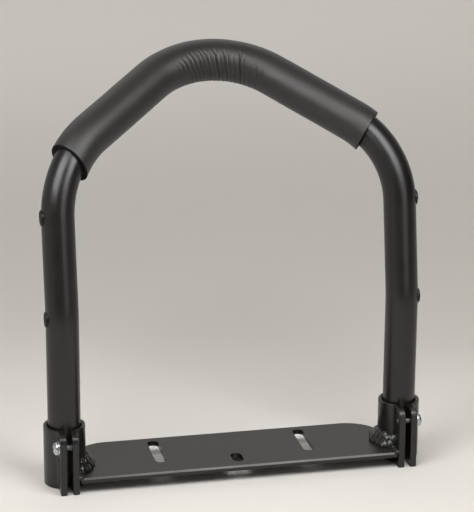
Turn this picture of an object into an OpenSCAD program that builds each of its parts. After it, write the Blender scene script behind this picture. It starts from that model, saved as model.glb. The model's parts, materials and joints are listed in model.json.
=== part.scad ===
// Bed assist rail: a bent tube hoop with a foam grip, held in two split clamps
// that are welded to a slotted base plate. Millimetres, +Z up, legs along Z.
// The clamp ears point to the front (-Y), the top of the hoop leans to the back.
// The origin is on the floor, under the middle of the whole rail.

/* [Rail tube] */
// outside diameter of the tube
tube_od = 31.75; // [25:0.05:38]
// wall of the tube
tube_wall = 1.5; // [1.2:0.05:2.5]
// distance between the axes of the legs
leg_spacing = 335; // [300:1:420]
// height of the lower ends of the tube above the floor
tube_foot = 2; // [0:0.5:10]
// height of the bend that tips the legs back
leg_bend_z = 169; // [150:1:200]
// angle that the upper legs lean back
leg_lean = 10.5; // [4:0.5:16]
// height at which the leg and roof axes meet
shoulder_z = 311; // [290:1:360]
// angle that the plane of the roof leans back from upright
roof_lean = 53.5; // [35:0.5:65]
// slope of each roof run, measured in the plane of the roof
roof_slope = 42.3; // [35:0.1:50]
// radius of all bends, to the axis of the tube
bend_radius = 90; // [75:1:100]

/* [Foam grip] */
// wall of the foam sleeve
foam_wall = 4.8; // [3:0.1:9]
// angle that the sleeve covers of the left shoulder bend
foam_left_wrap = 24.5; // [5:0.5:45]
// angle that the sleeve covers of the right shoulder bend
foam_right_wrap = 10.5; // [5:0.5:45]
// angle that the left end of the sleeve is off square, longer inside the bend
foam_left_skew = 19; // [0:1:25]
// angle that the right end of the sleeve is off square, longer inside the bend
foam_right_skew = 9; // [0:1:25]

/* [Hole plugs] */
// diameter of the cap of a plug
plug_od = 15.6; // [13:0.1:20]
// height of the cap above the tube
plug_proud = 1.6; // [1.2:0.1:4]
// diameter of the hole in the tube wall
plug_hole = 10; // [8:0.1:11]
// length of the stem inside the tube
plug_stem = 6; // [4:0.5:10]
// distance from the upper plugs up to the shoulder
upper_plug_drop = 49; // [44:1:80]
// distance between the two plugs of a leg
plug_spacing = 95; // [60:1:110]

/* [Clamps] */
// wall of the collar
collar_wall = 4.1; // [3:0.1:7]
// height of the collar and of its ears
collar_height = 60; // [45:1:80]
// chamfer round both ends of the bore
bore_chamfer = 1.6; // [0.5:0.1:2.5]
// thickness of an ear
ear_thickness = 6.35; // [5:0.05:8]
// width of the slit between the ears
ear_gap = 5.5; // [3:0.1:8]
// distance from the bolt to the front of the ears
ear_front = 8; // [7:0.5:12]
// radius of the upper front corner of an ear
ear_top_round = 6; // [2:0.5:7]
// radius of the lower front corner of an ear
ear_foot_round = 1.5; // [0.5:0.5:4]
// radius of the weld fillet between collar and ear
ear_weld = 4; // [3:0.5:7]

/* [Clamp bolts] */
// diameter of the bolt
bolt_d = 6; // [5:0.5:8]
// distance from the bolt up to the top of the ears
bolt_drop = 13.5; // [8:0.5:30]
// diameter of the domed head
head_od = 13.4; // [11:0.1:16]
// height of the domed head
head_height = 4.6; // [3:0.1:6]
// width across the flats of the socket
socket_flats = 4; // [3:0.5:5]
// depth of the socket
socket_depth = 2.2; // [1:0.1:3]
// length of thread that stands out of the inner ear
thread_end = 0.5; // [0.2:0.1:4]
// diameter of the washer
washer_od = 14.6; // [12:0.1:18]
// thickness of the washer
washer_thickness = 1.6; // [1:0.1:2.5]

/* [Base plate] */
// height of the upper face of the plate
plate_top = 16.5; // [10:0.5:30]
// thickness of the plate
plate_thickness = 5; // [3:0.1:8]
// distance from the front of the ears back to the front edge
plate_setback = 0.5; // [0:0.5:6]
// distance from the leg axes to the back edge
plate_back = 50; // [40:0.5:70]
// radius of the back corners
plate_corner = 36; // [10:1:40]
// gap between the end of the plate and the ears
plate_end_gap = 1.5; // [0.5:0.1:3]
// distance between the two long slots
slot_spacing = 148.5; // [120:0.5:170]
// overall length of a long slot
slot_length = 54; // [30:1:60]
// width of all three slots
slot_width = 11; // [8:0.5:13]
// distance from the leg axes to the middle of the long slots
slot_offset = 15.6; // [10:0.1:18]
// overall length of the middle slot
short_slot_length = 20.5; // [14:0.5:24]
// distance from the leg axes to the middle of the middle slot
short_slot_offset = 14; // [10:0.5:20]

/* [Plate welds] */
// width of the upper bead on the plate
bead_width = 7.5; // [4:0.5:10]
// height of the upper bead on the collar
bead_height = 13.5; // [8:0.5:16]
// width of the bead under the plate
under_bead = 5; // [3:0.5:7]
// angle from the inward direction to the back end of the beads
bead_back = 36; // [20:1:50]
// number of lumps along the upper bead
bead_lumps = 7; // [4:1:12]

/* [Clearances] */
// gap between tube and collar, on the radius
slide_gap = 0.3; // [0.2:0.05:0.6]
// gap between bolt and tapped hole, on the radius
thread_gap = 0.05; // [0.02:0.01:0.1]
// gap between bolt and plain hole or washer, on the radius
bolt_gap = 0.3; // [0.1:0.05:0.6]
// gap between the stem of a plug and its hole, on the radius
plug_gap = 0.05; // [0:0.01:0.2]
// gap between washer and weld fillet
washer_gap = 0.3; // [0.1:0.1:1]

/* [Hidden] */
$fn = 72;

tube_r = tube_od / 2;
foam_r = tube_r + foam_wall;
bore_r = tube_r + slide_gap;
collar_r = bore_r + collar_wall;
half_spacing = leg_spacing / 2;
upper_plug_z = shoulder_z - upper_plug_drop;
lower_plug_z = upper_plug_z - plug_spacing;

// outer face of an ear, from the middle of its clamp
ear_face = ear_gap / 2 + ear_thickness;
// the fillet between collar and ear ends here, and the washer lies just in front of it
weld_x = ear_face + ear_weld;
weld_y = -sqrt(pow(collar_r + ear_weld, 2) - weld_x * weld_x);
weld_toe = 0.8;
bolt_reach = washer_od / 2 + washer_gap - weld_y;
bolt_z = collar_height - bolt_drop;
ear_reach = bolt_reach + ear_front;
plate_front = ear_reach - plate_setback;

// the leg runs straight up, leans back, then turns in and back into the roof
leg_tangent = bend_radius * tan(leg_lean / 2);
upper_leg = (shoulder_z - leg_bend_z) / cos(leg_lean);
shoulder_y = (shoulder_z - leg_bend_z) * tan(leg_lean);
roof_turn = roof_lean - leg_lean;
shoulder_bend = acos(sin(roof_slope) * cos(roof_turn));
shoulder_roll = atan2(sin(roof_slope) * sin(roof_turn), cos(roof_slope));
shoulder_tangent = bend_radius * tan(shoulder_bend / 2);
apex_tangent = bend_radius * tan(roof_slope);
roof_length = half_spacing / cos(roof_slope);

// the legs stand in front of the origin by half of what the hoop overhangs
roof_top = half_spacing * tan(roof_slope) - bend_radius * (1 / cos(roof_slope) - 1);
back_reach = shoulder_y + roof_top * sin(roof_lean) + foam_r;
leg_y = (ear_reach - back_reach) / 2;

plate_half = half_spacing - ear_face - plate_end_gap;
plate_bottom = plate_top - plate_thickness;
slot_r = slot_width / 2;
// a bend is a hair slimmer than a straight length and laps into it by this angle
bend_slim = 0.06;
bend_lap = 0.6;
// the beads run on to the inner ear at the front
bead_front = 72;

steel_black = [0.06, 0.06, 0.065];
foam_black = [0.13, 0.13, 0.135];
plug_black = [0.09, 0.09, 0.1];
zinc = [0.78, 0.79, 0.8];

// Tube sections. A length starts at the origin and heads up; a bend turns to +X.
// A lap is 1 at an end of a bend that joins a straight length, else 0.

module section(outer, inner) {
    difference() {
        circle(outer);
        if (inner > 0) circle(inner);
    }
}

module length(outer, inner, size) {
    linear_extrude(size) section(outer, inner);
}

// turns children about the centre of a bend, +X pointing away from it and +Y along the tube
module on_bend(angle) {
    translate([bend_radius, 0, 0]) rotate([90, 0, 180]) rotate([0, 0, angle]) children();
}

module bend(outer, inner, from, to, lap = 1) {
    on_bend(from - lap * bend_lap)
        rotate_extrude(angle = to - from + (1 + lap) * bend_lap) translate([bend_radius, 0])
            section(outer - bend_slim, inner > 0 ? inner + bend_slim : 0);
}

module on_upper_leg() {
    translate([-half_spacing, leg_y, leg_bend_z]) rotate([-leg_lean, 0, 0]) children();
}

module on_shoulder() {
    on_upper_leg() translate([0, 0, upper_leg - shoulder_tangent])
        rotate([0, 0, shoulder_roll]) children();
}

module shoulder(outer, inner, from = 0, lap = 1) {
    on_shoulder() bend(outer, inner, from, shoulder_bend, lap);
}

// the left leg, from its foot to the start of the shoulder bend
module leg(outer, inner) {
    translate([-half_spacing, leg_y, tube_foot])
        length(outer, inner, leg_bend_z - leg_tangent - tube_foot);
    translate([-half_spacing, leg_y, leg_bend_z - leg_tangent])
        rotate([0, 0, 90]) bend(outer, inner, 0, leg_lean);
    on_upper_leg() translate([0, 0, leg_tangent])
        length(outer, inner, upper_leg - leg_tangent - shoulder_tangent);
}

module on_left_roof() {
    translate([0, leg_y + shoulder_y, shoulder_z]) rotate([-roof_lean, 0, 0])
        translate([-half_spacing, 0, 0]) rotate([0, 90 - roof_slope, 0]) children();
}

module roof_run(outer, inner) {
    on_left_roof() translate([0, 0, shoulder_tangent])
        length(outer, inner, roof_length - shoulder_tangent - apex_tangent);
}

module apex(outer, inner) {
    on_left_roof() translate([0, 0, roof_length - apex_tangent])
        bend(outer, inner, 0, 2 * roof_slope);
}

// places children on the outer side of the left leg, +Z pointing out of the tube
module on_leg_side(height) {
    back = max(0, height - leg_bend_z) * tan(leg_lean);
    translate([-half_spacing, leg_y + back, height]) rotate([0, -90, 0]) children();
}

// draws children for the right side
module right() {
    mirror([1, 0, 0]) children();
}

// Rail

module rail_tube() {
    color(steel_black) difference() {
        union() {
            for (side = [0, 1]) mirror([side, 0, 0]) {
                leg(tube_r, tube_r - tube_wall);
                shoulder(tube_r, tube_r - tube_wall);
                roof_run(tube_r, tube_r - tube_wall);
            }
            apex(tube_r, tube_r - tube_wall);
        }
        for (side = [0, 1]) mirror([side, 0, 0])
            for (height = [lower_plug_z, upper_plug_z])
                on_leg_side(height) cylinder(h = tube_od, d = plug_hole);
    }
}

// the end of the sleeve on a shoulder bend, skewed because the foam bunches inside the bend
module sleeve_end(wrap, skew) {
    from = shoulder_bend - wrap;
    spare = atan(foam_r * tan(skew) / (bend_radius - foam_r)) + 1;
    difference() {
        shoulder(foam_r, tube_r, from - spare, 0);
        on_shoulder() on_bend(from) translate([bend_radius, 0, 0]) rotate([0, 0, skew])
            translate([-2 * foam_r, -4 * foam_r, -2 * foam_r]) cube(4 * foam_r);
    }
}

module foam_grip() {
    color(foam_black) union() {
        sleeve_end(foam_left_wrap, foam_left_skew);
        right() sleeve_end(foam_right_wrap, foam_right_skew);
        for (side = [0, 1]) mirror([side, 0, 0]) roof_run(foam_r, tube_r);
        apex(foam_r, tube_r);
    }
}

// a push-in plug: dished cap with a raised rim, seated on the round of the tube
module plug(height) {
    face = tube_r + plug_proud;
    rim = plug_od / 2;
    color(plug_black) {
        difference() {
            on_leg_side(height) rotate_extrude() polygon([[0, tube_r - 3], [rim, tube_r - 3],
                [rim, face - 0.9], [rim - 0.9, face], [rim - 2, face],
                [rim - 3, face - 0.8], [0, face - 0.5]]);
            leg(tube_r, 0);
            shoulder(tube_r, 0);
        }
        on_leg_side(height) translate([0, 0, tube_r - tube_wall - plug_stem])
            cylinder(h = plug_stem + tube_wall + 1, r = plug_hole / 2 - plug_gap);
    }
}

module left_upper_plug() { plug(upper_plug_z); }
module left_lower_plug() { plug(lower_plug_z); }
module right_upper_plug() { right() plug(upper_plug_z); }
module right_lower_plug() { right() plug(lower_plug_z); }

// Clamps, drawn for the left leg; the outer side of the left clamp is -X

module at_left_leg() {
    translate([-half_spacing, leg_y, 0]) children();
}

module collar() {
    color(steel_black) at_left_leg() difference() {
        cylinder(h = collar_height, r = collar_r);
        translate([0, 0, -1]) cylinder(h = collar_height + 2, r = bore_r);
        cylinder(h = bore_chamfer, r1 = bore_r + bore_chamfer, r2 = bore_r);
        translate([0, 0, collar_height - bore_chamfer])
            cylinder(h = bore_chamfer, r1 = bore_r, r2 = bore_r + bore_chamfer);
        translate([-ear_gap / 2, -collar_r - 1, -1])
            cube([ear_gap, collar_r + 1, collar_height + 2]);
    }
}

// side view of an ear with its two rounded front corners
module ear_outline() {
    difference() {
        translate([-ear_reach, 0]) square([ear_reach, collar_height]);
        translate([-ear_reach, 0]) corner_cut(ear_foot_round);
        translate([-ear_reach, collar_height]) mirror([0, 1]) corner_cut(ear_top_round);
    }
}

module corner_cut(radius) {
    difference() {
        square(radius);
        translate([radius, radius]) circle(radius);
    }
}

// side -1 draws the ear on the outer side of the left clamp, side 1 the inner ear
module ear(side, hole_r) {
    color(steel_black) at_left_leg() difference() {
        translate([side > 0 ? ear_gap / 2 : -ear_face, 0, 0]) rotate([90, 0, 90])
            linear_extrude(ear_thickness) ear_outline();
        translate([0, 0, -1]) cylinder(h = collar_height + 2, r = collar_r);
        translate([-ear_face - 1, -bolt_reach, bolt_z]) rotate([0, 90, 0])
            cylinder(h = 2 * ear_face + 2, r = hole_r);
    }
}

// the fillet between the collar and an ear, which ends a little short of both tangents
module fillet_outline() {
    toe = atan2(weld_x, -weld_y) - atan(weld_toe / collar_r);
    difference() {
        polygon([[ear_face, weld_y + weld_toe], [weld_x, weld_y],
            [collar_r * sin(toe), -collar_r * cos(toe)], [ear_face, weld_y + ear_weld + 1]]);
        translate([weld_x, weld_y]) circle(ear_weld, $fn = 360);
    }
}

// the smooth painted fillets on both outer faces of the ears
module ear_welds() {
    color(steel_black) at_left_leg() for (side = [0, 1]) mirror([side, 0, 0])
        linear_extrude(collar_height) difference() {
            fillet_outline();
            circle(collar_r, $fn = 360);
        }
}

module left_collar() { collar(); }
module right_collar() { right() collar(); }
module left_outer_ear() { ear(-1, bolt_d / 2 + bolt_gap); }
module left_inner_ear() { ear(1, bolt_d / 2 + thread_gap); }
module right_outer_ear() { right() ear(-1, bolt_d / 2 + bolt_gap); }
module right_inner_ear() { right() ear(1, bolt_d / 2 + thread_gap); }
module left_ear_welds() { ear_welds(); }
module right_ear_welds() { right() ear_welds(); }

// Clamp bolts: domed head and washer outside, thread tapped into the inner ear

module on_left_bolt() {
    at_left_leg() translate([0, -bolt_reach, bolt_z]) rotate([0, -90, 0]) children();
}

module bolt() {
    seat = ear_face + washer_thickness;
    dome_r = (head_od * head_od / 4 + head_height * head_height) / (2 * head_height);
    color(zinc) on_left_bolt() difference() {
        union() {
            translate([0, 0, -ear_face - thread_end])
                cylinder(h = seat + ear_face + thread_end, d = bolt_d);
            intersection() {
                translate([0, 0, seat + head_height - dome_r]) sphere(dome_r);
                translate([0, 0, seat]) cylinder(h = head_height + 1, d = head_od);
            }
        }
        translate([0, 0, seat + head_height - socket_depth])
            cylinder(h = socket_depth + 1, d = socket_flats / cos(30), $fn = 6);
    }
}

module washer() {
    color(zinc) on_left_bolt() translate([0, 0, ear_face]) difference() {
        cylinder(h = washer_thickness, d = washer_od);
        translate([0, 0, -1]) cylinder(h = washer_thickness + 2, r = bolt_d / 2 + bolt_gap);
    }
}

module left_bolt() { bolt(); }
module right_bolt() { right() bolt(); }
module left_washer() { washer(); }
module right_washer() { right() washer(); }

// Base plate

module slot(size) {
    for (end = [-1, 1]) translate([0, end * (size / 2 - slot_r)]) circle(slot_r);
    translate([-slot_r, slot_r - size / 2]) square([slot_width, size - slot_width]);
}

module plate_outline() {
    difference() {
        union() {
            translate([-plate_half, -plate_front])
                square([2 * plate_half, plate_front + plate_back - plate_corner]);
            translate([plate_corner - plate_half, 0])
                square([2 * (plate_half - plate_corner), plate_back]);
            for (side = [-1, 1])
                translate([side * (plate_half - plate_corner), plate_back - plate_corner])
                    circle(plate_corner);
        }
        for (side = [-1, 1]) {
            translate([side * half_spacing, 0]) circle(collar_r);
            translate([side * slot_spacing / 2, slot_offset]) slot(slot_length);
        }
        translate([0, -short_slot_offset]) slot(short_slot_length);
    }
}

module plate() {
    translate([0, leg_y, plate_bottom]) linear_extrude(plate_thickness) plate_outline();
}

module base_plate() {
    color(steel_black) plate();
}

// Plate welds: a fat bead round the inner side of each collar and on to the ear

module clear_of_clamp() {
    difference() {
        children();
        at_left_leg() {
            translate([0, 0, -1]) cylinder(h = collar_height + 2, r = collar_r);
            translate([-ear_face, -ear_reach - 1, -1])
                cube([2 * ear_face, ear_reach + 1, collar_height + 2]);
            linear_extrude(collar_height) fillet_outline();
        }
    }
}

// sweeps a bead from beside the inner ear to the back of the collar
module bead(points) {
    at_left_leg() rotate([0, 0, -bead_front]) rotate_extrude(angle = bead_front + bead_back)
        polygon(points);
}

// the filled gap between the end of the plate and the ear, with its own lumps
module end_weld() {
    run = plate_front - collar_r - 0.5;
    at_left_leg() translate([ear_face, -collar_r, 0]) {
        translate([0, -run, plate_bottom]) cube([plate_end_gap, run, plate_thickness + 0.8]);
        for (i = [0 : 3])
            translate([plate_end_gap, -run * (i + 0.5) / 4, plate_top]) sphere(2.4 + 0.3 * (i % 2));
    }
}

module top_weld() {
    base = plate_top - 0.5;
    step = (bead_front + bead_back) / bead_lumps;
    color(steel_black) difference() {
        clear_of_clamp() {
            bead([[collar_r - 1, base], [collar_r + bead_width, base],
                [collar_r + bead_width, plate_top + 1.5],
                [collar_r + bead_width * 0.72, plate_top + bead_height * 0.5],
                [collar_r + 1.2, plate_top + bead_height], [collar_r - 1, plate_top + bead_height]]);
            at_left_leg() for (i = [0 : bead_lumps - 1])
                rotate([0, 0, (i + 0.5) * step - bead_front])
                    translate([collar_r + bead_width * 0.52, 0,
                        plate_top + bead_height * (0.46 - 0.12 * (i % 2))])
                        sphere(bead_width * 0.55);
            end_weld();
        }
        plate();
    }
}

module under_weld() {
    color(steel_black) clear_of_clamp() bead([[collar_r - 1, plate_bottom],
        [collar_r + under_bead, plate_bottom], [collar_r + under_bead, plate_bottom - 1],
        [collar_r + 1, plate_bottom - under_bead], [collar_r - 1, plate_bottom - under_bead]]);
}

module left_top_weld() { top_weld(); }
module right_top_weld() { right() top_weld(); }
module left_under_weld() { under_weld(); }
module right_under_weld() { right() under_weld(); }

rail_tube();
foam_grip();
left_upper_plug();
left_lower_plug();
right_upper_plug();
right_lower_plug();
base_plate();
left_collar();
right_collar();
left_outer_ear();
left_inner_ear();
right_outer_ear();
right_inner_ear();
left_ear_welds();
right_ear_welds();
left_top_weld();
right_top_weld();
left_under_weld();
right_under_weld();
left_bolt();
right_bolt();
left_washer();
right_washer();
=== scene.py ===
# Bed assist rail: a bent steel tube with a foam grip on its roof, held by its legs in two split
# clamps that are welded to a slotted base plate. Metres, +Z up, and -Y is the front.
import json
import math
import random

import bmesh
import bpy
from mathutils import Matrix, Vector, noise


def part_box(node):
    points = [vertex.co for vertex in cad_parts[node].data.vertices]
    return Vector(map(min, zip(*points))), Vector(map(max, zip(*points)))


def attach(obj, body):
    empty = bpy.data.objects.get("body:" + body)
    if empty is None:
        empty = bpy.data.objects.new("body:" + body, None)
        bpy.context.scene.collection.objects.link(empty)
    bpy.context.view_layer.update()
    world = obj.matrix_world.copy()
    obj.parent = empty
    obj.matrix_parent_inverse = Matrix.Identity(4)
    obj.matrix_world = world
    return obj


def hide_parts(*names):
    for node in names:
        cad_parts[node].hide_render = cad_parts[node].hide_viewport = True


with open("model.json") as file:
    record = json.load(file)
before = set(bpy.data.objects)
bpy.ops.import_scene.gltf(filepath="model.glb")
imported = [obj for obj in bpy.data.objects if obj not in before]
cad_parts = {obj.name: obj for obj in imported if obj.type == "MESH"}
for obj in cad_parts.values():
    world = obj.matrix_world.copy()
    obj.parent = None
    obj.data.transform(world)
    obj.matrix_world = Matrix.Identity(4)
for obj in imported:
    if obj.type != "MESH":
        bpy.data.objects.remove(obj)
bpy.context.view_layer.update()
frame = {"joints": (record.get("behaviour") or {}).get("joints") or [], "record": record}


# Base plate
# A 5 mm steel plate, cut with three slots for the bolts that fix it below a mattress. Its ends
# are hollowed to meet the two clamps, and plate and clamps are coated together after welding.
mm = 0.001
mounts = {mount["name"]: mount for mount in frame["record"]["mounts"]}
joints = {joint["name"]: joint for joint in frame["joints"]}
leg_x = joints["right_bolt_turn"]["pos_m"][0]
leg_y = mounts["left_foot"]["pos_m"][1]
# the tube sets the size of the clamps, and they set that of the hollows in the plate's ends
tube_r = 31.75 * mm / 2
slide_gap, collar_wall = 0.3 * mm, 4.1 * mm
clamp_bore = tube_r + slide_gap
collar_r = clamp_bore + collar_wall
plate_low, plate_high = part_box("base_plate")
plate_corner = 36 * mm
front_chamfer, chamfer_lean = 1.7 * mm, 0.2 * mm
plate_edge = 0.5 * mm
# points that differ by less than a hair are level, and points closer than the gap become one
hair = 0.001 * mm
merge_gap = 0.002 * mm
# round cuts are made of facets that turn by so many degrees
arc_step = 5


def linear(code):
    """Linear colour of an sRGB hex value."""
    parts = [int(code[i:i + 2], 16) / 255 for i in (1, 3, 5)]
    return (*(c / 12.92 if c < 0.04045 else ((c + 0.055) / 1.055) ** 2.4 for c in parts), 1)


def add_node(material, kind, inputs, **settings):
    """Adds a node to a material or the world. An input is a plain value or another node's
    output."""
    node = material.node_tree.nodes.new(kind)
    for name, value in settings.items():
        setattr(node, name, value)
    for name, value in inputs.items():
        if isinstance(value, bpy.types.NodeSocket):
            material.node_tree.links.new(value, node.inputs[name])
        else:
            node.inputs[name].default_value = value
    return node


def start_material(name):
    """A new material with its Principled shader and its Object coordinates."""
    material = bpy.data.materials.new(name)
    material.use_nodes = True
    where = add_node(material, "ShaderNodeTexCoord", {}).outputs["Object"]
    return material, material.node_tree.nodes["Principled BSDF"], where


# most of a noise pattern lies between these values
noise_range = {"From Min": 0.3, "From Max": 0.7}


def powder_coat(name, dark, light, dull, shiny, peel):
    """Black polyester powder, sprayed dry and baked on steel. The film levels to a satin skin
    with a faint orange peel about 2 mm across, and handling leaves patches a little duller."""
    patch_size, peel_size = 28 * mm, 2.2 * mm
    material, shader, where = start_material(name)
    patches = add_node(material, "ShaderNodeTexNoise",
                       {"Vector": where, "Scale": 1 / patch_size, "Detail": 2})
    tint = add_node(material, "ShaderNodeMix", {"Factor": patches.outputs["Fac"],
                    "A": linear(dark), "B": linear(light)}, data_type="RGBA")
    gloss = add_node(material, "ShaderNodeMapRange", {"Value": patches.outputs["Fac"],
                     **noise_range, "To Min": shiny, "To Max": dull})
    skin = add_node(material, "ShaderNodeTexNoise",
                    {"Vector": where, "Scale": 1 / peel_size, "Detail": 2})
    bump = add_node(material, "ShaderNodeBump", {"Height": skin.outputs["Fac"],
                    "Strength": 1, "Distance": peel})
    links = material.node_tree.links
    links.new(tint.outputs["Result"], shader.inputs["Base Color"])
    links.new(gloss.outputs["Result"], shader.inputs["Roughness"])
    links.new(bump.outputs["Normal"], shader.inputs["Normal"])
    shader.inputs["IOR"].default_value = 1.5
    return material


satin_coat = powder_coat("Satin black powder coat", "#131110", "#1b1816", dull=0.34, shiny=0.26,
                         peel=0.005 * mm)


def cut_outline(bm, start, moves):
    """Draws a closed outline from start and fills it. A move of two numbers is a straight cut
    to that point, and one of three is a round cut about a point by so many degrees."""
    known = set(bm.edges)
    first = last = bm.verts.new((*start, 0))
    for move in moves:
        if len(move) == 2:
            last = bmesh.ops.extrude_vert_indiv(bm, verts=[last])["verts"][0]
            last.co = (*move, 0)
        else:
            x, y, turn = move
            arc = bmesh.ops.spin(bm, geom=[last], cent=(x, y, 0), axis=(0, 0, 1),
                                 angle=math.radians(turn), steps=math.ceil(abs(turn) / arc_step))
            last = next(v for v in arc["geom_last"] if isinstance(v, bmesh.types.BMVert))
    bm.edges.new((last, first))
    bmesh.ops.contextual_create(bm, geom=[edge for edge in bm.edges if edge not in known])


def thicken(bm, low, high):
    """Makes the flat outlines in bm a solid between two heights."""
    bmesh.ops.remove_doubles(bm, verts=bm.verts[:], dist=merge_gap)
    bmesh.ops.translate(bm, verts=bm.verts[:], vec=(0, 0, low))
    grown = bmesh.ops.extrude_face_region(bm, geom=bm.faces[:])["geom"]
    bmesh.ops.translate(bm, verts=[v for v in grown if isinstance(v, bmesh.types.BMVert)],
                        vec=(0, 0, high - low))
    bmesh.ops.recalc_face_normals(bm, faces=bm.faces[:])


def add_piece(bm, name, body, slot, material, *nodes):
    """Closes the shape and adds it as a piece that moves with body, hiding the nodes it stands
    for.
    """
    bmesh.ops.remove_doubles(bm, verts=bm.verts[:], dist=merge_gap)
    bmesh.ops.recalc_face_normals(bm, faces=bm.faces[:])
    mesh = bpy.data.meshes.new(name)
    bm.to_mesh(mesh)
    bm.free()
    mesh.shade_smooth()
    mesh.materials.append(material)
    piece = bpy.data.objects.new(name, mesh)
    bpy.context.scene.collection.objects.link(piece)
    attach(piece, body)
    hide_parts(*nodes)
    return piece


def round_edges(piece, radius, sharp=35):
    """Takes the sharpness off every edge that turns by more than sharp degrees, and lets the
    large faces stay flat beside it."""
    bevel = piece.modifiers.new("Rounded edges", "BEVEL")
    bevel.width = radius
    bevel.segments = 3
    bevel.limit_method = "ANGLE"
    bevel.angle_limit = math.radians(sharp)
    piece.modifiers.new("Flat faces", "WEIGHTED_NORMAL")


plate = bmesh.new()
half_hollow = math.sqrt(collar_r ** 2 - (leg_x - plate_high.x) ** 2)
hollow_turn = 2 * math.degrees(math.asin(half_hollow / collar_r))
corner_x, corner_y = plate_high.x - plate_corner, plate_high.y - plate_corner
corner_from = math.asin((leg_y + half_hollow - corner_y) / plate_corner)
slot_x, slot_y, plate_top = mounts["right_slot"]["pos_m"]
slot_r = mounts["right_slot"]["dims"]["hole_r_mm"] * mm
slot_run = mounts["right_slot"]["dims"]["slot_length_mm"] * mm / 2 - slot_r
short_y = mounts["middle_slot"]["pos_m"][1]
short_run = mounts["middle_slot"]["dims"]["slot_length_mm"] * mm / 2 - slot_r
cut_outline(plate, (slot_x, plate_low.y), [
    (plate_high.x, plate_low.y),
    (plate_high.x, leg_y - half_hollow),
    (leg_x, leg_y, -hollow_turn),
    (corner_x + plate_corner * math.cos(corner_from),
     corner_y + plate_corner * math.sin(corner_from)),
    (corner_x, corner_y, 90 - math.degrees(corner_from)),
    (slot_x, plate_high.y),
    (slot_x, slot_y + slot_run + slot_r),
    (slot_x, slot_y + slot_run, -90),
    (slot_x + slot_r, slot_y - slot_run),
    (slot_x, slot_y - slot_run, -90),
])
cut_outline(plate, (0, plate_low.y), [
    (slot_x, plate_low.y),
    (slot_x, slot_y - slot_run - slot_r),
    (slot_x, slot_y - slot_run, -90),
    (slot_x - slot_r, slot_y + slot_run),
    (slot_x, slot_y + slot_run, -90),
    (slot_x, plate_high.y),
    (0, plate_high.y),
    (0, short_y + short_run + slot_r),
    (0, short_y + short_run, -90),
    (slot_r, short_y - short_run),
    (0, short_y - short_run, -90),
])
bmesh.ops.mirror(plate, geom=plate.verts[:] + plate.edges[:] + plate.faces[:], axis="X")
thicken(plate, plate_low.z, plate_high.z)
# the front edge is dressed with a file, to a chamfer a little steeper than 45 degrees
rim = [edge for edge in plate.edges if all(v.co.z > plate_high.z - hair
                                           and v.co.y < plate_low.y + hair for v in edge.verts)]
bmesh.ops.bevel(plate, geom=rim, offset=front_chamfer, segments=1, profile=0.5, affect="EDGES",
                material=-1)
for v in plate.verts:
    if v.co.z > plate_high.z - hair and v.co.y < plate_low.y + front_chamfer + hair:
        v.co.y -= chamfer_lean
plate_piece = add_piece(plate, "slotted_plate", "base", "black_coat", satin_coat, "base_plate")
round_edges(plate_piece, plate_edge, sharp=25)


# Clamps
# Each clamp is a short length of thick tube, split at the front, with two flat bars welded on
# beside the split. A bolt through the bars closes the tube on the leg of the rail.
clamp_height = 60 * mm
bore_chamfer = 1.6 * mm
split = 5.5 * mm
ear_thickness = 6.35 * mm
# from the bolt to the front of the ears
ear_front = 8 * mm
ear_weld = 4 * mm
ear_top_round = 8.5 * mm
ear_foot_round = 1.5 * mm
clamp_edge = 1 * mm
hands = ((-1, "left"), (1, "right"))
ear_face = split / 2 + ear_thickness
ear_reach = leg_y - joints["right_bolt_turn"]["pos_m"][1] + ear_front
weld_x = ear_face + ear_weld
weld_y = -math.sqrt((collar_r + ear_weld) ** 2 - weld_x ** 2)
weld_turn = math.degrees(math.atan2(-weld_y, weld_x))
split_y = -math.sqrt(clamp_bore ** 2 - (split / 2) ** 2)
split_turn = math.degrees(math.asin(split / 2 / clamp_bore))

for side, name in hands:
    clamp = bmesh.new()
    cut_outline(clamp, (split / 2, split_y), [
        (0, 0, 360 - 2 * split_turn),
        (-split / 2, -ear_reach),
        (-ear_face, -ear_reach),
        (-ear_face, weld_y),
        (-weld_x, weld_y, weld_turn),
        (0, 0, -(180 + 2 * weld_turn)),
        (weld_x, weld_y, weld_turn),
        (ear_face, -ear_reach),
        (split / 2, -ear_reach),
    ])
    thicken(clamp, 0, clamp_height)
    for height, radius in ((clamp_height, ear_top_round), (0, ear_foot_round)):
        front = [edge for edge in clamp.edges
                 if all(abs(v.co.z - height) < hair and v.co.y < hair - ear_reach
                        for v in edge.verts)]
        bmesh.ops.bevel(clamp, geom=front, offset=radius, segments=8, profile=0.5,
                        affect="EDGES", material=-1)
        rim = [edge for edge in clamp.edges
               if all(abs(v.co.z - height) < hair and abs(v.co.xy.length - clamp_bore) < hair
                      for v in edge.verts)]
        bmesh.ops.bevel(clamp, geom=rim, offset=bore_chamfer, segments=1, profile=0.5,
                        affect="EDGES", material=-1)
    bmesh.ops.translate(clamp, verts=clamp.verts[:], vec=(side * leg_x, leg_y, 0))
    clamp_piece = add_piece(clamp, name + "_clamp", "base", "black_coat", satin_coat,
                            name + "_collar", name + "_outer_ear", name + "_inner_ear",
                            name + "_ear_welds")
    round_edges(clamp_piece, clamp_edge)


# Plate welds
# Hand-laid beads join each clamp to the plate, a fat lumpy one above that runs round the collar
# and on to the inner ear, and a slim one below. The powder pools on them and bakes glossier.
bead_seed = 11
bead_from, bead_to = -64, 34
bead_grain = 0.4 * mm
ripples, seam_ripples, under_ripples = 7, 5, 12
# each row of the upper bead: how far it is staggered, and how far out and up it lies
bead_rows = ((0, 1.6 * mm, 8 * mm), (0.5, 4.4 * mm, 3.2 * mm))
# how much the hand strays: along the row, in tilt, out, up and in size
row_slip, lump_tilt, lump_out, lump_rise, lump_swell = 0.15, 0.3, 0.4 * mm, 0.6 * mm, 0.12
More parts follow.
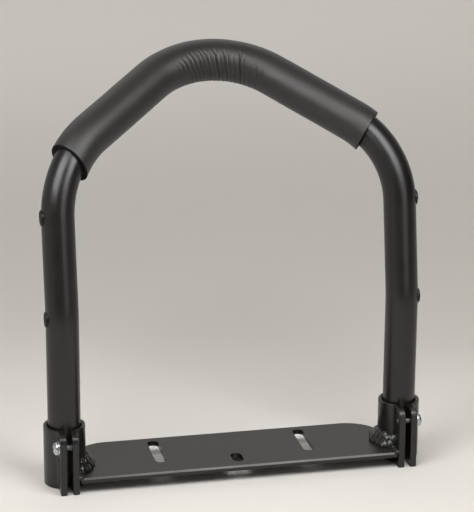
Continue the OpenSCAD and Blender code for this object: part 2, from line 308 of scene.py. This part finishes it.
# how far a lump faces out and up, and how much it slants across the row
face_out, face_up, least_lay, most_lay = 0.8, 0.6, 0.1, 0.5
# where the row beside the ear lies, and how its face falls
seam_out, seam_from, seam_pitch, seam_rise = 1.2 * mm, 1 * mm, 3.3 * mm, 0.2 * mm
seam_fall = 0.6
under_out = 1.2 * mm
# the sizes of a lump along the seam, down its face and out, or the least and most of each
broad_lump = (4.9 * mm, 6.2 * mm, 3.1 * mm)
seam_lump = ((2.2 * mm, 2.8 * mm), (2.8 * mm, 3.4 * mm), (2 * mm, 2.6 * mm))
under_lump = ((2.2 * mm, 2.8 * mm), (3.6 * mm, 4.2 * mm), (1.8 * mm, 2.3 * mm))
up = Vector((0, 0, 1))
pooled_coat = powder_coat("Black powder coat pooled on weld", "#121110", "#1a1817", dull=0.34,
                          shiny=0.2, peel=0.03 * mm)


def add_lump(bm, place, along, down, sizes):
    """Adds one lump of a bead: an egg with its sizes along the seam, down its face and out."""
    out = along.cross(down)
    turn = Matrix((along, down, out)).transposed().to_4x4()
    bmesh.ops.create_icosphere(bm, subdivisions=3, radius=1, matrix=Matrix.Translation(place)
                               @ turn @ Matrix.Diagonal((*sizes, 1)))


def melt(piece):
    """Runs the lumps of a bead into one skin."""
    remesh = piece.modifiers.new("Melted together", "REMESH")
    remesh.mode = "VOXEL"
    remesh.voxel_size = bead_grain
    remesh.use_smooth_shade = True
    smooth = piece.modifiers.new("Surface tension", "SMOOTH")
    smooth.factor = 0.5
    smooth.iterations = 12


for side, name in hands:
    hand = random.Random(bead_seed + side)
    leg = Vector((side * leg_x, leg_y, 0))
    bead = bmesh.new()
    # two staggered rows of broad flat ripples, each tilted a little its own way
    for shift, out, height in bead_rows:
        for i in range(ripples):
            spread = (i + shift + hand.uniform(-row_slip, row_slip)) / (ripples - 0.5)
            angle = math.radians(bead_from + (bead_to - bead_from) * spread)
            outward = Vector((-side * math.cos(angle), math.sin(angle), 0))
            tilt = Vector([hand.uniform(-lump_tilt, lump_tilt) for _ in range(3)])
            face = (outward * face_out + up * face_up + tilt).normalized()
            lay = face.cross(up) + up * hand.uniform(least_lay, most_lay)
            along = lay.cross(face).cross(-face).normalized()
            place = leg + outward * (collar_r + out + hand.uniform(-lump_out, lump_out))
            place.z = plate_top + height + hand.uniform(-lump_rise, lump_rise)
            add_lump(bead, place, along, face.cross(along),
                     [size * hand.uniform(1 - lump_swell, 1 + lump_swell) for size in broad_lump])
    # a slim row runs on along the foot of the inner ear
    for i in range(seam_ripples):
        place = leg + Vector((-side * (ear_face + seam_out),
                              -collar_r - seam_from - seam_pitch * i, plate_top + seam_rise))
        add_lump(bead, place, Vector((0, 1, 0)), Vector((-side, 0, -seam_fall)).normalized(),
                 [hand.uniform(least, most) for least, most in seam_lump])
    bead_piece = add_piece(bead, name + "_top_bead", "base", "black_coat", pooled_coat,
                           name + "_top_weld")
    melt(bead_piece)

    under = bmesh.new()
    for i in range(under_ripples):
        angle = math.radians(bead_from + (bead_to - bead_from) * i / (under_ripples - 1))
        outward = Vector((-side * math.cos(angle), math.sin(angle), 0))
        along = Vector((side * math.sin(angle), math.cos(angle), 0))
        place = leg + outward * (collar_r + under_out)
        place.z = plate_low.z - under_out
        add_lump(under, place, along, (outward + up).normalized(),
                 [hand.uniform(least, most) for least, most in under_lump])
    under_piece = add_piece(under, name + "_under_bead", "base", "black_coat", pooled_coat,
                            name + "_under_weld")
    melt(under_piece)


# Rail tube
# One length of 31.75 mm steel tube, bent cold at five places: a slight lean in each leg, two
# shoulders that turn in and back, and the apex. The clamps grip its legs by friction alone.
tube_wall = 1.5 * mm
tube_edge = 0.3 * mm
tube_sides, tube_step, tube_turn = 64, 40 * mm, math.radians(2)
bend_r = 90 * mm
tube_foot = 2 * mm
leg_bend_z = 169 * mm
shoulder_z = 311 * mm
leg_lean = math.radians(10.5)
roof_lean = math.radians(53.5)
roof_slope = math.radians(42.3)
gloss_coat = powder_coat("Semi-gloss black powder coat", "#110f0e", "#181514", dull=0.36,
                         shiny=0.28, peel=0.012 * mm)

upper_way = Vector((0, math.sin(leg_lean), math.cos(leg_lean)))
roof_way = Vector((math.cos(roof_slope), math.sin(roof_slope) * math.sin(roof_lean),
                   math.sin(roof_slope) * math.cos(roof_lean)))
shoulder_turn = upper_way.angle(roof_way)
shoulder_axis = upper_way.cross(roof_way).normalized()
apex_axis = roof_way.cross(Vector((1, 0, 0))).normalized()
leg_tangent = bend_r * math.tan(leg_lean / 2)
shoulder_tangent = bend_r * math.tan(shoulder_turn / 2)
apex_tangent = bend_r * math.tan(roof_slope)
upper_run = (shoulder_z - leg_bend_z) / math.cos(leg_lean) - leg_tangent - shoulder_tangent
roof_run = leg_x / math.cos(roof_slope) - shoulder_tangent - apex_tangent


def sweep(bm, radius, place, way, route, sides, length_step, turn_step):
    """Sweeps a round wall from place along way. Each step of the route is a straight length,
    then a bend about an axis by an angle. Returns where it ends."""
    tilt = up.rotation_difference(way).to_matrix().to_4x4()
    ring = bmesh.ops.create_circle(bm, segments=sides, radius=radius,
                                   matrix=Matrix.Translation(place) @ tilt)["verts"]
    ring = list({edge for v in ring for edge in v.link_edges})
    for length, axis, turn in route:
        count = math.ceil(length / length_step)
        for _ in range(count):
            made = bmesh.ops.extrude_edge_only(bm, edges=ring)["geom"]
            points = {g for g in made if isinstance(g, bmesh.types.BMVert)}
            bmesh.ops.translate(bm, verts=list(points), vec=way * length / count)
            ring = [g for g in made if isinstance(g, bmesh.types.BMEdge)
                    and set(g.verts) <= points]
        place = place + way * length
        if turn:
            centre = place + axis.cross(way) * bend_r
            made = bmesh.ops.spin(bm, geom=ring, cent=centre, axis=axis, angle=turn,
                                  steps=math.ceil(turn / turn_step))["geom_last"]
            ring = [g for g in made if isinstance(g, bmesh.types.BMEdge)]
            spin = Matrix.Rotation(turn, 3, axis)
            place, way = centre + spin @ (place - centre), spin @ way
    return ring


tube = bmesh.new()
sweep(tube, tube_r, Vector((-leg_x, leg_y, tube_foot)), up, [
    (leg_bend_z - leg_tangent - tube_foot, Vector((-1, 0, 0)), leg_lean),
    (upper_run, shoulder_axis, shoulder_turn),
    (roof_run, apex_axis, roof_slope),
], tube_sides, tube_step, tube_turn)
bmesh.ops.mirror(tube, geom=tube.verts[:] + tube.edges[:] + tube.faces[:], axis="X")
tube_piece = add_piece(tube, "bent_tube", "rail", "black_coat", gloss_coat, "rail_tube")
wall = tube_piece.modifiers.new("Tube wall", "SOLIDIFY")
wall.thickness = tube_wall
wall.offset = -1
round_edges(tube_piece, tube_edge, sharp=50)


# Hole plugs
# Snap-in caps of moulded polyethylene close the two holes on the outer side of each leg. The
# cap is a shallow dish with a rounded rim, and its skirt sits down on the round of the tube.
plug_r = 7.8 * mm
plug_proud = 1 * mm
plug_sides = 40
plug_edge = 0.35 * mm
skirt_depth = 2.6 * mm
rim_width, rim_slope, rim_depth, rim_round = 2 * mm, 0.5 * mm, 0.7 * mm, 0.9 * mm
dish_r, dish_depth = 3.8 * mm, 0.8 * mm
spark_size, spark_depth = 0.7 * mm, 0.012 * mm
plug_heights = {"upper": 262 * mm, "lower": 167 * mm}
plug_plastic, shader, where = start_material("Moulded black polyethylene")
# the mould leaves a waxy skin with a very fine spark texture, drawn coarse enough to show
spark = add_node(plug_plastic, "ShaderNodeTexNoise",
                 {"Vector": where, "Scale": 1 / spark_size, "Detail": 3})
wax = add_node(plug_plastic, "ShaderNodeMapRange", {"Value": spark.outputs["Fac"],
               **noise_range, "To Min": 0.3, "To Max": 0.42})
pits = add_node(plug_plastic, "ShaderNodeBump", {"Height": spark.outputs["Fac"],
                "Strength": 1, "Distance": spark_depth})
plug_plastic.node_tree.links.new(wax.outputs["Result"], shader.inputs["Roughness"])
plug_plastic.node_tree.links.new(pits.outputs["Normal"], shader.inputs["Normal"])
shader.inputs["Base Color"].default_value = linear("#080808")
shader.inputs["IOR"].default_value = 1.51
shader.inputs["Specular IOR Level"].default_value = 0.3


def turn_profile(bm, points, sides):
    """Turns a profile of (radius, height) points about +Z."""
    drawn = [bm.verts.new((radius, 0, height)) for radius, height in points]
    lines = [bm.edges.new(pair) for pair in zip(drawn, drawn[1:])]
    bmesh.ops.spin(bm, geom=drawn + lines, cent=(0, 0, 0), axis=(0, 0, 1), angle=math.tau,
                   steps=sides, use_merge=True)
    bmesh.ops.remove_doubles(bm, verts=bm.verts[:], dist=merge_gap)


for side, name in hands:
    for level, height in plug_heights.items():
        plug = bmesh.new()
        turn_profile(plug, [
            (0, plug_proud - dish_depth),
            (dish_r, plug_proud - dish_depth),
            (plug_r - rim_width - rim_slope, plug_proud - rim_depth),
            (plug_r - rim_width, plug_proud),
            (plug_r - rim_round, plug_proud),
            (plug_r, plug_proud - rim_round),
            (plug_r, -skirt_depth),
            (0, -skirt_depth),
        ], plug_sides)
        back = max(0, height - leg_bend_z) * math.tan(leg_lean)
        bmesh.ops.rotate(plug, verts=plug.verts[:], cent=(0, 0, 0),
                         matrix=Matrix.Rotation(side * math.pi / 2, 3, "Y"))
        bmesh.ops.translate(plug, verts=plug.verts[:],
                            vec=(side * (leg_x + tube_r), leg_y + back, height))
        node = f"{name}_{level}_plug"
        plug_piece = add_piece(plug, node + "_cap", "rail", "plug", plug_plastic, node)
        round_edges(plug_piece, plug_edge, sharp=12)


# Foam grip
# One sleeve of black nitrile foam, pushed over the roof of the rail until its cut ends sit askew
# on the shoulders. It bunches into creases inside the bend of the apex, where it is too long.
foam_wall = 4.8 * mm
foam_r = tube_r + foam_wall
left_wrap, left_skew = math.radians(24.5), math.radians(19)
right_wrap, right_skew = math.radians(11.3), math.radians(9)
right_twist = math.radians(-8)
foam_fit = 0.3 * mm
foam_edge = 0.6 * mm
sleeve_sides = 80
skin_step, skin_turn = 2.5 * mm, math.radians(0.27)
bore_step, bore_turn = 25 * mm, math.radians(3)
cut_snap = 0.05 * mm
# the skin swells in broad waves and small dimples, with their sizes and heights
wave_size, wave_height = 35 * mm, 0.25 * mm
dimple_size, dimple_height = 9 * mm, 0.06 * mm
# each crease: degrees from the middle of the apex, depth in mm, and degrees round the sleeve
creases = ((-25, 0.7, 62), (-22, 0.9, 70), (-18.6, 1.1, 74), (-15, 1.3, 78), (-11.6, 1.2, 84),
           (-8.2, 1.3, 80), (-5.2, 1, 86), (-2.2, 1.3, 84), (1, 1, 80), (4.4, 1.5, 90),
           (8, 1.1, 76), (10.8, 1.3, 84), (14, 1.2, 82), (17.6, 1.2, 74), (21.8, 1.6, 88),
           (25, 1.2, 78), (29.6, 1, 72), (35, 0.9, 66), (40, 0.5, 58))
# how a crease runs, in degrees: its width, its lean about a line in front, how far it strays and
# over what stretch, where it fades out, and how shallow it is below
crease_width, crease_lean, lean_line = 0.6, 0.06, -20
stray, stray_round, stray_along = 0.9, 25, 40
crease_zone, crease_fade = 48, 26
below_depth, below_fade = 0.3, 40
# the lip pushed up beside it, as parts of its depth and width
lip_height, lip_width = 0.28, 2.4


def nitrile(name, dark, light, dull, pore):
    """Black nitrile foam. Its pin-prick cells are drawn coarse enough to show."""
    cloud_size, cell_size, skin_size = 18 * mm, 0.9 * mm, 1.4 * mm
    material, shader, where = start_material(name)
    cloud = add_node(material, "ShaderNodeTexNoise",
                     {"Vector": where, "Scale": 1 / cloud_size, "Detail": 4, "Roughness": 0.6})
    tint = add_node(material, "ShaderNodeMix", {"Factor": cloud.outputs["Fac"],
                    "A": linear(dark), "B": linear(light)}, data_type="RGBA")
    cells = add_node(material, "ShaderNodeTexVoronoi", {"Vector": where, "Scale": 1 / cell_size})
    skin = add_node(material, "ShaderNodeTexNoise",
                    {"Vector": where, "Scale": 1 / skin_size, "Detail": 5, "Roughness": 0.7})
    pores = add_node(material, "ShaderNodeMath", {0: cells.outputs["Distance"],
                     1: skin.outputs["Fac"]}, operation="ADD")
    grain = add_node(material, "ShaderNodeBump", {"Height": pores.outputs["Value"],
                     "Strength": 1, "Distance": pore})
    material.node_tree.links.new(tint.outputs["Result"], shader.inputs["Base Color"])
    material.node_tree.links.new(grain.outputs["Normal"], shader.inputs["Normal"])
    shader.inputs["Roughness"].default_value = dull
    shader.inputs["IOR"].default_value = 1.5
    return material, shader


# the moulded skin is closed, and shines softly through its dust
foam_skin, shader = nitrile("Moulded closed-cell nitrile foam", "#171514", "#201d1b", dull=0.45,
                            pore=0.03 * mm)
shader.inputs["Sheen Weight"].default_value = 0.05
shader.inputs["Sheen Roughness"].default_value = 0.5
# a knife cut opens the cells, rough and dull; the ends are also painted darker, as painted shade
cut_foam_painted_shade, shader = nitrile("Knife-cut nitrile foam", "#080807", "#0e0d0c", dull=0.9,
                           pore=0.12 * mm)
shader.inputs["Specular IOR Level"].default_value = 0.2

shoulder = Vector((-leg_x, leg_y + (shoulder_z - leg_bend_z) * math.tan(leg_lean), shoulder_z))
bend_start = shoulder - upper_way * shoulder_tangent
bend_centre = bend_start + shoulder_axis.cross(upper_way) * bend_r
# the sleeve is swept too long by this much at both ends, then cut
spare = math.radians(10)
to_end = Matrix.Rotation(shoulder_turn - left_wrap - spare, 3, shoulder_axis)
down_way = Vector((roof_way.x, -roof_way.y, -roof_way.z))
foam_start = bend_centre + to_end @ (bend_start - bend_centre)
foam_route = [
    (0, shoulder_axis, left_wrap + spare),
    (roof_run, apex_axis, 2 * roof_slope),
    (roof_run, down_way.cross(-upper_way).normalized(), right_wrap + spare),
]
cuts = []
for side, wrap, skew, twist in ((-1, left_wrap, left_skew, 0),
                                (1, right_wrap, right_skew, right_twist)):
    to_cut = Matrix.Rotation(shoulder_turn - wrap, 3, shoulder_axis)
    cut_at = bend_centre + to_cut @ (bend_start - bend_centre)
    cut_way = Matrix.Rotation(skew, 3, shoulder_axis) @ to_cut @ upper_way
    flip = Vector((-side, 1, 1))
    cut_way = cut_way * flip
    cut_way.rotate(Matrix.Rotation(twist, 3, cut_way.cross(shoulder_axis * flip)))
    cuts.append((cut_at * flip, cut_way))


def sleeve(bm, radius, length_step, turn_step):
    """Adds one wall of the sleeve, cut off at both ends."""
    known = set(bm.faces)
    sweep(bm, radius, foam_start, to_end @ upper_way, foam_route, sleeve_sides, length_step,
          turn_step)
    for cut_at, cut_way in cuts:
        faces = [face for face in bm.faces if face not in known]
        edges = {edge for face in faces for edge in face.edges}
        points = {v for face in faces for v in face.verts}
        bmesh.ops.bisect_plane(bm, geom=[*points, *edges, *faces], dist=cut_snap,
                               plane_co=cut_at, plane_no=cut_way, clear_inner=True)


foam = bmesh.new()
sleeve(foam, foam_r, skin_step, skin_turn)
bmesh.ops.recalc_face_normals(foam, faces=foam.faces[:])

apex_start = shoulder + roof_way * (shoulder_tangent + roof_run)
apex_centre = apex_start + apex_axis.cross(roof_way) * bend_r
crown = Vector((1, 0, 0)).cross(apex_axis)
foam.normal_update()
moves = []
for v in foam.verts:
    swell = (noise.noise(v.co / wave_size) * wave_height
             + noise.noise(v.co / dimple_size) * dimple_height)
    arm = v.co - apex_centre
    side_way = arm.dot(apex_axis)
    flat = arm - apex_axis * side_way
    turn = math.degrees(math.atan2(flat.x, flat.dot(crown)))
    if abs(turn) < crease_zone and flat.dot(crown) > 0:
        round_way = math.degrees(math.atan2(side_way, bend_r - flat.length))
        wander = stray * noise.noise(Vector((round_way / stray_round, 0, turn / stray_along)))
        # they are deepest in front of the sleeve and shallow below it
        hollow = min(1, max(below_depth, 1 - round_way / below_fade))
        for angle, depth, reach in creases:
            fade = min(1, max(0, (reach - abs(round_way)) / crease_fade))
            off = (turn + wander - angle - crease_lean * (round_way - lean_line)) / crease_width
            groove = lip_height * math.exp(-(off / lip_width) ** 2) - math.exp(-off * off)
            swell += fade * fade * (3 - 2 * fade) * depth * mm * hollow * groove
    moves.append((v, v.normal * swell))
for v, move in moves:
    v.co += move

sleeve(foam, tube_r + foam_fit, bore_step, bore_turn)
# the faces that close the cut ends take the second material, painted darker as painted shade
open_edges = [edge for edge in foam.edges if edge.is_boundary]
for end in (-1, 1):
    ring = [edge for edge in open_edges if edge.verts[0].co.x * end > 0]
    for face in bmesh.ops.bridge_loops(foam, edges=ring)["faces"]:
        face.material_index = 1
foam_piece = add_piece(foam, "foam_sleeve", "rail", "foam", foam_skin, "foam_grip")
foam_piece.data.materials.append(cut_foam_painted_shade)
round_edges(foam_piece, foam_edge, sharp=60)


# Clamp bolts and washers
# A bright zinc plated button head screw with a hexagon socket and a plain washer closes each
# clamp. It passes through the outer ear and is screwed into a thread in the inner one.
washer_thickness, washer_edge = 1.6 * mm, 0.3 * mm
washer_r, washer_hole_r = 7.3 * mm, 3.3 * mm
head_r, head_height = 6.7 * mm, 4.6 * mm
# the dome starts above a short straight side, and ends at the mouth of the socket
head_side, head_chamfer, dome_base = 0.5 * mm, 0.3 * mm, 0.6 * mm
dome_angles = range(26, 91, 8)
bolt_r, bolt_neck = 3 * mm, 0.8 * mm
socket_flats, socket_depth = 4 * mm, 2.2 * mm
thread_pitch, thread_depth, thread_steps = 1 * mm, 0.55 * mm, 20
point_length, point_taper = 1.2 * mm, 0.4 * mm
bolt_proud = 0.5 * mm
bolt_sides = 48
bolt_length = washer_thickness + 2 * ear_face + bolt_proud
core_r = bolt_r - thread_depth


def zinc(name, dark, light, shiny, dull):
    """Zinc, barrel plated on steel: a bluish silver, scuffed by tumbling in the barrel."""
    scuff_size, scuff_depth = 1.6 * mm, 0.02 * mm
    material, shader, where = start_material(name)
    scuff = add_node(material, "ShaderNodeTexNoise",
                     {"Vector": where, "Scale": 1 / scuff_size, "Detail": 5, "Roughness": 0.7})
    tint = add_node(material, "ShaderNodeMix", {"Factor": scuff.outputs["Fac"],
                    "A": linear(dark), "B": linear(light)}, data_type="RGBA")
    gloss = add_node(material, "ShaderNodeMapRange", {"Value": scuff.outputs["Fac"],
                     **noise_range, "To Min": shiny, "To Max": dull})
    knocks = add_node(material, "ShaderNodeBump", {"Height": scuff.outputs["Fac"],
                      "Strength": 1, "Distance": scuff_depth})
    links = material.node_tree.links
    links.new(tint.outputs["Result"], shader.inputs["Base Color"])
    links.new(gloss.outputs["Result"], shader.inputs["Roughness"])
    links.new(knocks.outputs["Normal"], shader.inputs["Normal"])
    shader.inputs["Metallic"].default_value = 1
    return material


# the heads and washers are nearly mirrors, and the rolled threads are given a darker, duller zinc
bright_zinc = zinc("Bright zinc plating on steel", "#a9adb2", "#cfd2d4", shiny=0.2, dull=0.34)
thread_zinc = zinc("Oiled zinc plating on rolled thread", "#5e5f5f", "#7c7d7c", shiny=0.36,
                   dull=0.5)

for side, name in hands:
    pivot = Vector(joints[name + "_bolt_turn"]["pos_m"])
    outward = Matrix.Rotation(side * math.pi / 2, 3, "Y")
    seat = pivot + Vector((side * ear_face, 0, 0))

    washer = bmesh.new()
    turn_profile(washer, [
        (washer_hole_r, 0),
        (washer_r, 0),
        (washer_r, washer_thickness),
        (washer_hole_r, washer_thickness),
        (washer_hole_r, 0),
    ], bolt_sides)
    bmesh.ops.rotate(washer, verts=washer.verts[:], cent=(0, 0, 0), matrix=outward)
    bmesh.ops.translate(washer, verts=washer.verts[:], vec=seat)
    washer_piece = add_piece(washer, name + "_plain_washer", name + "_bolt", "zinc", bright_zinc,
                             name + "_washer")
    round_edges(washer_piece, washer_edge)

    bolt = bmesh.new()
    dome = [(head_r * math.sin(math.radians(angle)),
             dome_base + (head_height - dome_base) * math.cos(math.radians(angle)))
            for angle in dome_angles]
    turn_profile(bolt, dome + [
        (head_r, head_side),
        (head_r - head_chamfer, 0),
        (bolt_r, 0),
        (bolt_r, -bolt_neck),
    ], bolt_sides)
    # the hexagon socket goes down from the mouth of the dome
    mouth = [edge for edge in bolt.edges if edge.is_boundary
             and all(v.co.z > head_height / 2 for v in edge.verts)]
    for depth in (0, socket_depth):
        hexagon = bmesh.ops.create_circle(
            bolt, segments=6, radius=socket_flats / math.sqrt(3),
            matrix=Matrix.Translation((0, 0, mouth[0].verts[0].co.z - depth)))["verts"]
        flats = list({edge for v in hexagon for edge in v.link_edges})
        bmesh.ops.bridge_loops(bolt, edges=mouth + flats)
        mouth = flats
    bmesh.ops.contextual_create(bolt, geom=mouth)
    # the thread is one ridge, wound up from the point
    ridge = [bolt.verts.new((radius, 0, height - bolt_length)) for radius, height in
             ((core_r, 0), (bolt_r, thread_pitch / 2), (core_r, thread_pitch))]
    ridge += [bolt.edges.new(ridge[:2]), bolt.edges.new(ridge[1:])]
    turns = math.floor(bolt_length / thread_pitch) - 1
    bmesh.ops.spin(bolt, geom=ridge, cent=(0, 0, 0), axis=(0, 0, 1), angle=turns * math.tau,
                   steps=turns * thread_steps, dvec=(0, 0, thread_pitch / thread_steps))
    bmesh.ops.create_cone(bolt, cap_ends=True, segments=thread_steps,
                          radius1=core_r - point_taper, radius2=core_r, depth=point_length,
                          matrix=Matrix.Translation((0, 0, point_length / 2 - bolt_length)))
    bmesh.ops.remove_doubles(bolt, verts=bolt.verts[:], dist=merge_gap)
    bmesh.ops.holes_fill(bolt, edges=[edge for edge in bolt.edges if edge.is_boundary], sides=0)
    for face in bolt.faces:
        face.material_index = int(face.calc_center_median().z < 0)
    bmesh.ops.rotate(bolt, verts=bolt.verts[:], cent=(0, 0, 0), matrix=outward)
    bmesh.ops.translate(bolt, verts=bolt.verts[:],
                        vec=seat + Vector((side * washer_thickness, 0, 0)))
    bolt_piece = add_piece(bolt, name + "_button_screw", name + "_bolt", "zinc", bright_zinc,
                           name + "_bolt")
    bolt_piece.data.materials.append(thread_zinc)


# Floor, light and camera
# A pale matt studio floor in a pale room that is dark behind the camera. Soft boxes stand close
# in front, to left, right and above, a lower one further off draws a streak down each leg, a wide
# panel at the back lights the plate, and lamps wash the floor round about.
floor_half = 3.4
stipple_size, stipple_depth = 3 * mm, 0.05 * mm
dark_way = (0.47, -0.88, 0)
# the camera's place in an orbit round the rail, fitted to the picture in pixels and degrees
focal_px, frame_px = 2150, 512
orbit_centre, orbit_r = (1.76 * mm, leg_y, 218.42 * mm), 2055.03 * mm
camera_turn, camera_rise, camera_roll = -12.82, 17.70, 0.396
floor_paint, shader, where = start_material("Pale matt floor paint")
# rolled paint dries to a fine even stipple
stipple = add_node(floor_paint, "ShaderNodeTexNoise", {"Vector": where, "Scale": 1 / stipple_size})
nap = add_node(floor_paint, "ShaderNodeBump", {"Height": stipple.outputs["Fac"],
               "Strength": 0.3, "Distance": stipple_depth})
floor_paint.node_tree.links.new(nap.outputs["Normal"], shader.inputs["Normal"])
shader.inputs["Base Color"].default_value = linear("#d0cdc7")
shader.inputs["Roughness"].default_value = 0.9
ground = bmesh.new()
bmesh.ops.create_grid(ground, x_segments=1, y_segments=1, size=floor_half)
floor_mesh = bpy.data.meshes.new("studio_floor")
ground.to_mesh(floor_mesh)
ground.free()
floor_mesh.materials.append(floor_paint)
floor = bpy.data.objects.new("studio_floor", floor_mesh)
bpy.context.scene.collection.objects.link(floor)

world = bpy.data.worlds.new("Pale room")
world.use_nodes = True
bpy.context.scene.world = world
# pale walls near eye level, a dimmer ceiling, and a dark end behind the camera
heading = add_node(world, "ShaderNodeTexCoord", {}).outputs["Generated"]
compass = add_node(world, "ShaderNodeSeparateXYZ", {"Vector": heading})
rise = add_node(world, "ShaderNodeMapRange", {"Value": compass.outputs["Z"],
                "From Min": 0.3, "From Max": 0.6})
walls = add_node(world, "ShaderNodeMix", {"Factor": rise.outputs["Result"],
                 "A": linear("#c2bfba"), "B": linear("#747270")}, data_type="RGBA")
front = add_node(world, "ShaderNodeVectorMath", {0: heading, 1: dark_way},
                 operation="DOT_PRODUCT")
dusk = add_node(world, "ShaderNodeMapRange", {"Value": front.outputs["Value"],
                "From Min": 0, "From Max": 0.35})
room = add_node(world, "ShaderNodeMix", {"Factor": dusk.outputs["Result"],
                "A": walls.outputs["Result"], "B": linear("#1e1d1d")}, data_type="RGBA")
world.node_tree.links.new(room.outputs["Result"],
                          world.node_tree.nodes["Background"].inputs["Color"])

# sizes in metres, spreads in degrees and powers in watts
for name, place, aim, width, height, spread, power in (
        ("left_soft_box", (-0.6, -0.5, 0.93), (-0.1, leg_y, 0.25), 0.64, 0.6, 180, 8.9),
        ("right_soft_box", (0.23, -0.5, 0.74), (0, leg_y, 0.25), 0.42, 0.48, 180, 4.7),
        ("top_strip", (-0.02, -0.45, 0.98), (0, leg_y, 0.1), 0.32, 0.24, 180, 1),
        ("front_strip", (0.66, -1.46, 0.6), (0, leg_y, 0.4), 0.84, 0.8, 80, 0.66),
        ("back_panel", (0, 2.6, 2.6), (0, 1.6, 0), 4, 2.5, 180, 24),
        ("back_wash", (0, 2.4, 2.6), (0, 2.3, 0), 4, 2.5, 50, 14),
        ("front_wash", (0, -2.3, 2.6), (0, -2.4, 0), 4, 1.6, 50, 15),
        ("left_wash", (-2.3, 0, 2.6), (-2.4, 0, 0), 1.6, 3, 50, 11),
        ("right_wash", (2.3, 0, 2.6), (2.4, 0, 0), 1.6, 3, 50, 11)):
    lamp = bpy.data.lights.new(name, "AREA")
    lamp.shape = "RECTANGLE"
    lamp.size, lamp.size_y = width, height
    lamp.spread = math.radians(spread)
    lamp.energy = power
    box = bpy.data.objects.new(name, lamp)
    bpy.context.scene.collection.objects.link(box)
    facing = (Vector(aim) - Vector(place)).to_track_quat("-Z", "Y").to_matrix().to_4x4()
    box.matrix_world = Matrix.Translation(place) @ facing
    box.visible_camera = False

eye = bpy.data.cameras.new("Front view")
eye.sensor_width = 36
eye.lens = focal_px / frame_px * eye.sensor_width
camera = bpy.data.objects.new("Front view", eye)
bpy.context.scene.collection.objects.link(camera)
camera.matrix_world = (
    Matrix.Translation(orbit_centre)
    @ Matrix.Rotation(math.radians(camera_turn), 4, "Z")
    @ Matrix.Rotation(math.radians(90 - camera_rise), 4, "X")
    @ Matrix.Rotation(math.radians(camera_roll), 4, "Z")
    @ Matrix.Translation((0, 0, orbit_r)))
bpy.context.scene.camera = camera
bpy.context.scene.view_settings.view_transform = "Standard"
